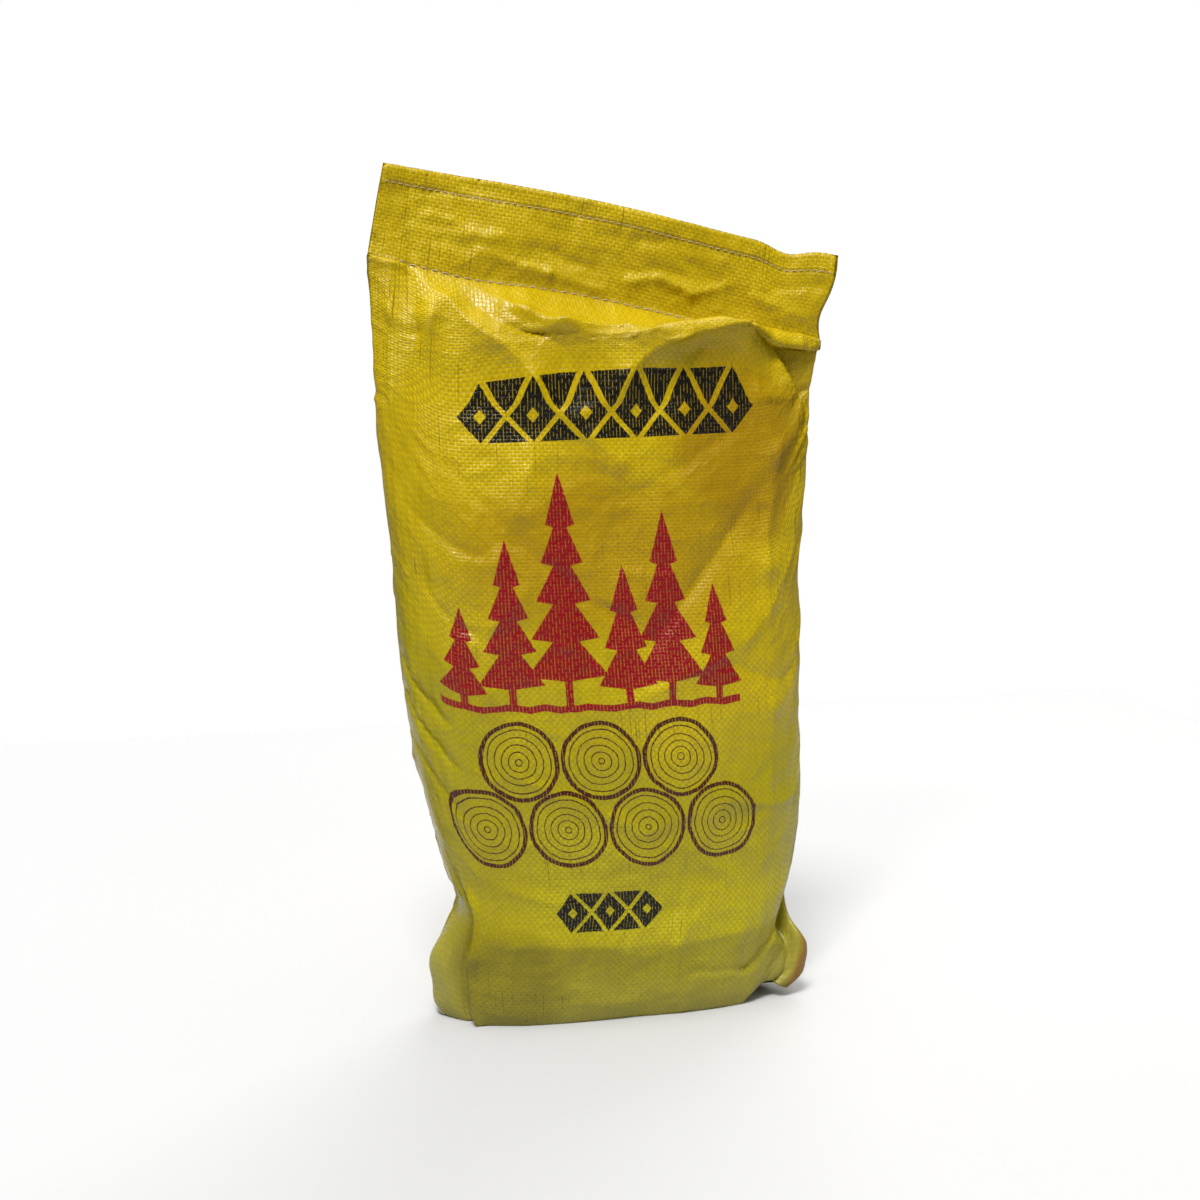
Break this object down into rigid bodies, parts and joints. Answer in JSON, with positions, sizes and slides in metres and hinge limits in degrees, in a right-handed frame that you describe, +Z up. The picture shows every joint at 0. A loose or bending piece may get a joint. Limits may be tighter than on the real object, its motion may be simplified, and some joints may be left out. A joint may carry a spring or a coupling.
{
  "type": "filled firewood sack",
  "caption": "Upright woven plastic sack of split firewood, sewn across below a flat flap, with folded corners at its base.",
  "frame": {"origin": "middle of the sack's box on the floor that it stands on", "axes": "+Z up, -Y out of the printed front, +X to the right when the front is looked at"},
  "size_m": [0.4512, 0.152, 0.7905],
  "materials": {
    "woven_plastic": "laminated woven tape, semi-gloss, printed",
    "sewing_thread": "spun thread",
    "split_wood": "rough split"
  },
  "bodies": {
    "root": {"sack": "woven_plastic", "mouth_hem_thread": "sewing_thread", "closing_seam_thread": "sewing_thread", "bottom_seam_thread": "sewing_thread", "log_lower_front_1": "split_wood", "log_lower_front_2": "split_wood", "log_lower_front_3": "split_wood", "log_lower_front_4": "split_wood", "log_lower_front_5": "split_wood", "log_lower_rear_1": "split_wood", "log_lower_rear_2": "split_wood", "log_lower_rear_3": "split_wood", "log_lower_rear_4": "split_wood", "log_lower_rear_5": "split_wood", "log_upper_front_1": "split_wood", "log_upper_front_2": "split_wood", "log_upper_front_3": "split_wood", "log_upper_front_4": "split_wood", "log_upper_front_5": "split_wood", "log_upper_front_6": "split_wood", "log_upper_rear_1": "split_wood", "log_upper_rear_2": "split_wood", "log_upper_rear_3": "split_wood", "log_upper_rear_4": "split_wood", "log_upper_rear_5": "split_wood", "log_upper_rear_6": "split_wood"}
  },
  "joints": []
}
